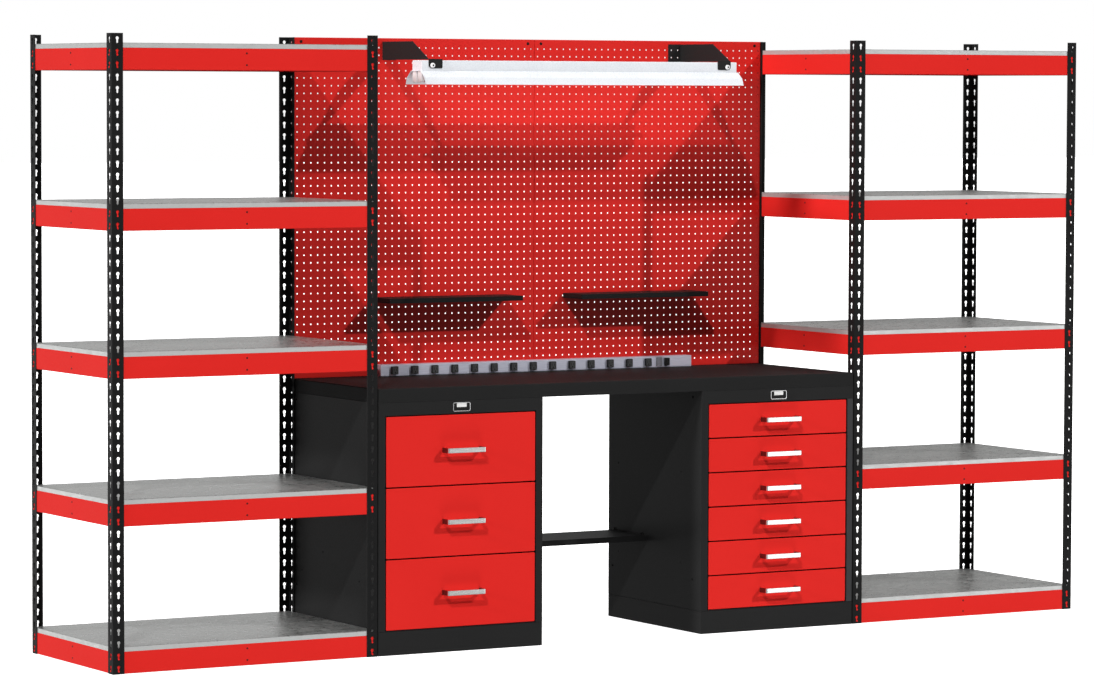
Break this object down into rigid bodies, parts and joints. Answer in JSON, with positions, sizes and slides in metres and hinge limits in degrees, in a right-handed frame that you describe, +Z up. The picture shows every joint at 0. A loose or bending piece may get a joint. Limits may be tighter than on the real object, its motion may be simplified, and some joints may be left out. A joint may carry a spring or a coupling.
{
  "type": "workbench with drawers and shelving",
  "caption": "Steel workbench on drawer pedestals between open riveted shelf units, with a peg panel back, small hanging shelves, a power strip and a strip lamp above.",
  "frame": {"origin": "on the floor, at the middle of the width over the outer rivets and of the depth from the handles to the rear rivets", "axes": "+X along the bench to the right seen from the front, +Y from the front to the back, +Z up"},
  "size_m": [3.6852, 0.6626, 1.9812],
  "materials": {
    "black_paint": "semi-gloss black powder coat",
    "red_paint": "satin red powder coat",
    "galvanised_steel": "spangled galvanised sheet",
    "zinc_plating": "bright zinc plating",
    "bright_plating": "satin bright plating",
    "plate_metal": "satin metal rim round a dark field",
    "white_paint": "gloss white enamel",
    "white_plastic": "moulded white plastic",
    "lamp_glass": "white coated lamp glass",
    "strip_metal": "satin anodised extrusion",
    "outlet_plastic": "dark grey moulded plastic"
  },
  "bodies": {
    "bench": {"bench_top": "black_paint", "deck_supports": "galvanised_steel", "label_plates": "plate_metal", "left_pedestal_base": "black_paint", "left_pedestal_case": "black_paint", "left_pedestal_slides": "zinc_plating", "left_pedestal_uprights": "black_paint", "left_shelf_decks": "galvanised_steel", "left_shelf_long_beams": "red_paint", "left_shelf_posts": "black_paint", "left_shelf_side_beams": "red_paint", "light_bolts": "white_paint", "light_brackets": "black_paint", "light_channel": "white_paint", "light_reflector": "white_paint", "light_sockets": "white_plastic", "light_tubes": "lamp_glass", "lower_shelf": "black_paint", "pegboard_left": "red_paint", "pegboard_right": "red_paint", "pegboard_screws": "black_paint", "pegboard_shelf_left": "black_paint", "pegboard_shelf_right": "black_paint", "power_strip_housing": "strip_metal", "power_strip_outlets": "outlet_plastic", "right_pedestal_base": "black_paint", "right_pedestal_case": "black_paint", "right_pedestal_slides": "zinc_plating", "right_pedestal_uprights": "black_paint", "right_shelf_decks": "galvanised_steel", "right_shelf_long_beams": "red_paint", "right_shelf_posts": "black_paint", "right_shelf_side_beams": "red_paint"},
    "left_drawer_1": {"left_drawer_1_front": "red_paint", "left_drawer_1_box": "black_paint", "left_drawer_1_handle": "bright_plating"},
    "left_drawer_2": {"left_drawer_2_front": "red_paint", "left_drawer_2_box": "black_paint", "left_drawer_2_handle": "bright_plating"},
    "left_drawer_3": {"left_drawer_3_front": "red_paint", "left_drawer_3_box": "black_paint", "left_drawer_3_handle": "bright_plating"},
    "right_drawer_1": {"right_drawer_1_front": "red_paint", "right_drawer_1_box": "black_paint", "right_drawer_1_handle": "bright_plating"},
    "right_drawer_2": {"right_drawer_2_front": "red_paint", "right_drawer_2_box": "black_paint", "right_drawer_2_handle": "bright_plating"},
    "right_drawer_3": {"right_drawer_3_front": "red_paint", "right_drawer_3_box": "black_paint", "right_drawer_3_handle": "bright_plating"},
    "right_drawer_4": {"right_drawer_4_front": "red_paint", "right_drawer_4_box": "black_paint", "right_drawer_4_handle": "bright_plating"},
    "right_drawer_5": {"right_drawer_5_front": "red_paint", "right_drawer_5_box": "black_paint", "right_drawer_5_handle": "bright_plating"},
    "right_drawer_6": {"right_drawer_6_front": "red_paint", "right_drawer_6_box": "black_paint", "right_drawer_6_handle": "bright_plating"}
  },
  "joints": [
    {"name": "left_drawer_1_slide", "type": "slide", "parent": "bench", "child": "left_drawer_1", "axis": [0, -1, 0], "range_m": [0, 0.42]},
    {"name": "left_drawer_2_slide", "type": "slide", "parent": "bench", "child": "left_drawer_2", "axis": [0, -1, 0], "range_m": [0, 0.42]},
    {"name": "left_drawer_3_slide", "type": "slide", "parent": "bench", "child": "left_drawer_3", "axis": [0, -1, 0], "range_m": [0, 0.42]},
    {"name": "right_drawer_1_slide", "type": "slide", "parent": "bench", "child": "right_drawer_1", "axis": [0, -1, 0], "range_m": [0, 0.42]},
    {"name": "right_drawer_2_slide", "type": "slide", "parent": "bench", "child": "right_drawer_2", "axis": [0, -1, 0], "range_m": [0, 0.42]},
    {"name": "right_drawer_3_slide", "type": "slide", "parent": "bench", "child": "right_drawer_3", "axis": [0, -1, 0], "range_m": [0, 0.42]},
    {"name": "right_drawer_4_slide", "type": "slide", "parent": "bench", "child": "right_drawer_4", "axis": [0, -1, 0], "range_m": [0, 0.42]},
    {"name": "right_drawer_5_slide", "type": "slide", "parent": "bench", "child": "right_drawer_5", "axis": [0, -1, 0], "range_m": [0, 0.42]},
    {"name": "right_drawer_6_slide", "type": "slide", "parent": "bench", "child": "right_drawer_6", "axis": [0, -1, 0], "range_m": [0, 0.42]}
  ]
}
